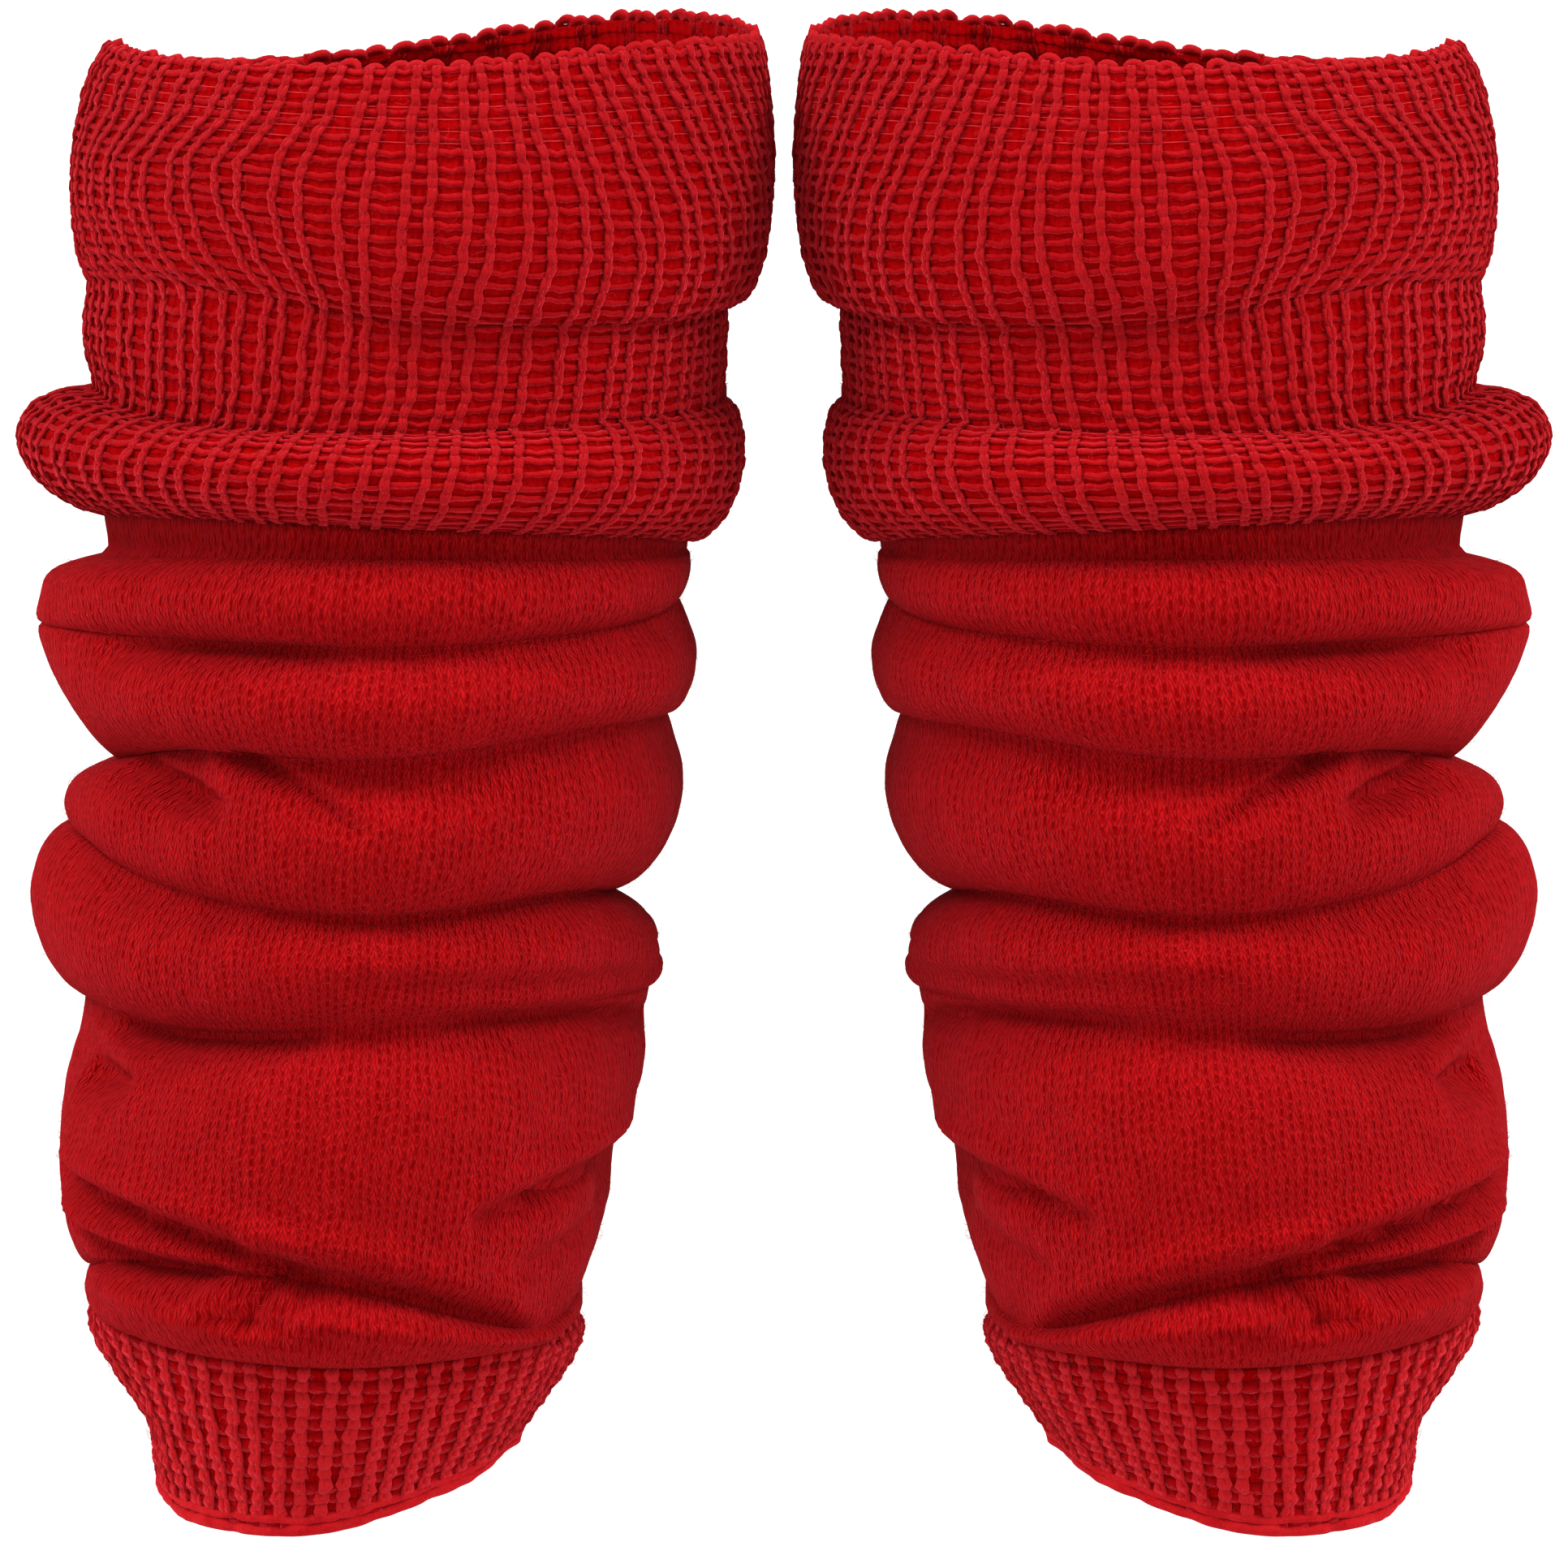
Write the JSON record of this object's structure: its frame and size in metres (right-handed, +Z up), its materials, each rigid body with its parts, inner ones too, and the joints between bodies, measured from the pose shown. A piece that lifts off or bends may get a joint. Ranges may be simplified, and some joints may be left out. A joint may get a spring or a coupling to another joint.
{
  "type": "pair of leg warmers",
  "caption": "Slouched knitted leg warmers, hollow as worn: loose ribbed cuff hanging over in a roll, plain knit body in deep folds, ribbed ankle cuff, open at both ends.",
  "frame": {"origin": "midway between the two legs, at the height of the elastic rows below the rims that hold the pair on the wearer's calves", "axes": "+Z up the legs, +X toward the right one as seen from the front, the front faces -Y"},
  "size_m": [0.3482, 0.1639, 0.3416],
  "materials": {
    "cuff_rib_knit": "loose soft ribbed knit, matt red, slightly fuzzy",
    "body_plain_knit": "brushed plain knit, matt red, fuzzy",
    "ankle_rib_knit": "fine ribbed knit, matt red, slightly fuzzy"
  },
  "bodies": {
    "root": {"left_top_rib": "cuff_rib_knit", "left_body": "body_plain_knit", "left_ankle_rib": "ankle_rib_knit", "right_top_rib": "cuff_rib_knit", "right_body": "body_plain_knit", "right_ankle_rib": "ankle_rib_knit"}
  },
  "joints": []
}
